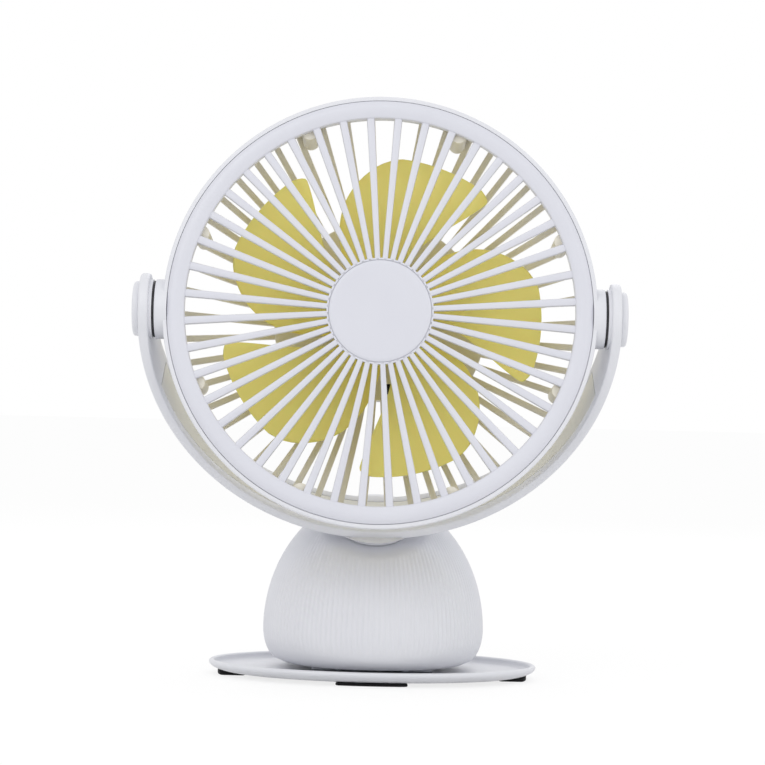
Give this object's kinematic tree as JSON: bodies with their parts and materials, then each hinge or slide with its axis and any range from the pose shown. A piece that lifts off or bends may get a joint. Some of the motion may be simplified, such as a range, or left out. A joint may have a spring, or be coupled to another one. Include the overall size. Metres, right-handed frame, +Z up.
{
  "type": "clip fan",
  "caption": "Rechargeable clip fan: a round grilled head tilts in a half-ring yoke that swivels on a fluted dome, whose foot and an oval tray form the sprung clip.",
  "frame": {"origin": "on the table, under the middle of the whole fan's box", "axes": "+Z up, +X to the right seen from the front, and the fan blows towards -Y"},
  "size_m": [0.173, 0.114, 0.2092],
  "materials": {
    "white_base": "satin moulded ABS",
    "white_head": "satin moulded ABS",
    "grey_inner": "fine matt, moulded",
    "yellow_blade": "satin, slightly translucent polypropylene",
    "black_rubber": "matt",
    "grey_rubber": "matt silicone",
    "steel": "zinc plated",
    "dark_nylon": "matt",
    "motor_case": "zinc plated",
    "board": "lacquered circuit board",
    "cell_wrap": "shrink film",
    "lens": "clear light guide"
  },
  "bodies": {
    "lower_jaw_body": {"lower_jaw": "white_base", "foot_left": "black_rubber", "foot_right": "black_rubber", "foot_front": "black_rubber", "foot_rear": "black_rubber", "jaw_pad_lower": "grey_rubber", "hinge_pin": "steel", "clip_spring": "steel"},
    "upper_jaw_body": {"shell": "white_base", "shell_floor": "white_base", "jaw_pad_upper": "grey_rubber", "battery_cell": "cell_wrap", "circuit_board": "board", "usb_socket": "steel", "indicator_lens": "lens"},
    "button_body": {"power_button": "white_base"},
    "yoke_body": {"yoke": "white_base", "yoke_liner": "grey_inner", "swivel_washer": "dark_nylon", "swivel_nut": "steel", "pivot_washer_left": "dark_nylon", "pivot_washer_right": "dark_nylon", "pivot_screw_left": "steel", "pivot_screw_right": "steel", "pivot_cap_left": "white_base", "pivot_cap_right": "white_base"},
    "head_body": {"front_grille": "white_head", "grille_cap": "white_head", "rear_housing": "white_base", "motor_cover": "white_base", "motor_can": "motor_case"},
    "impeller_body": {"impeller": "yellow_blade", "motor_shaft": "steel"}
  },
  "joints": [
    {"name": "clip_open", "type": "hinge", "parent": "lower_jaw_body", "child": "upper_jaw_body", "pos_m": [0, 0.03151, 0.01], "axis": [-1, 0, 0], "range_deg": [0, 22], "stiffness_Nm_per_rad": 0.3, "springref_deg": -20.05, "deforming": ["clip_spring"]},
    {"name": "button_press", "type": "slide", "parent": "upper_jaw_body", "child": "button_body", "axis": [0, -1, 0], "range_m": [0, 0.0008], "stiffness_N_per_m": 500, "springref_m": -0.001},
    {"name": "yoke_swivel", "type": "hinge", "parent": "upper_jaw_body", "child": "yoke_body", "pos_m": [0, 0.00251, 0.05557], "axis": [0, -0.4848, 0.8746], "range_deg": [-180, 180]},
    {"name": "head_tilt", "type": "hinge", "parent": "yoke_body", "child": "head_body", "pos_m": [0, -0.04039, 0.13297], "axis": [1, 0, 0], "range_deg": [-180, 180]},
    {"name": "impeller_spin", "type": "hinge", "parent": "head_body", "child": "impeller_body", "pos_m": [0, -0.04039, 0.13297], "axis": [0, -0.9962, 0.0872], "continuous": true}
  ]
}
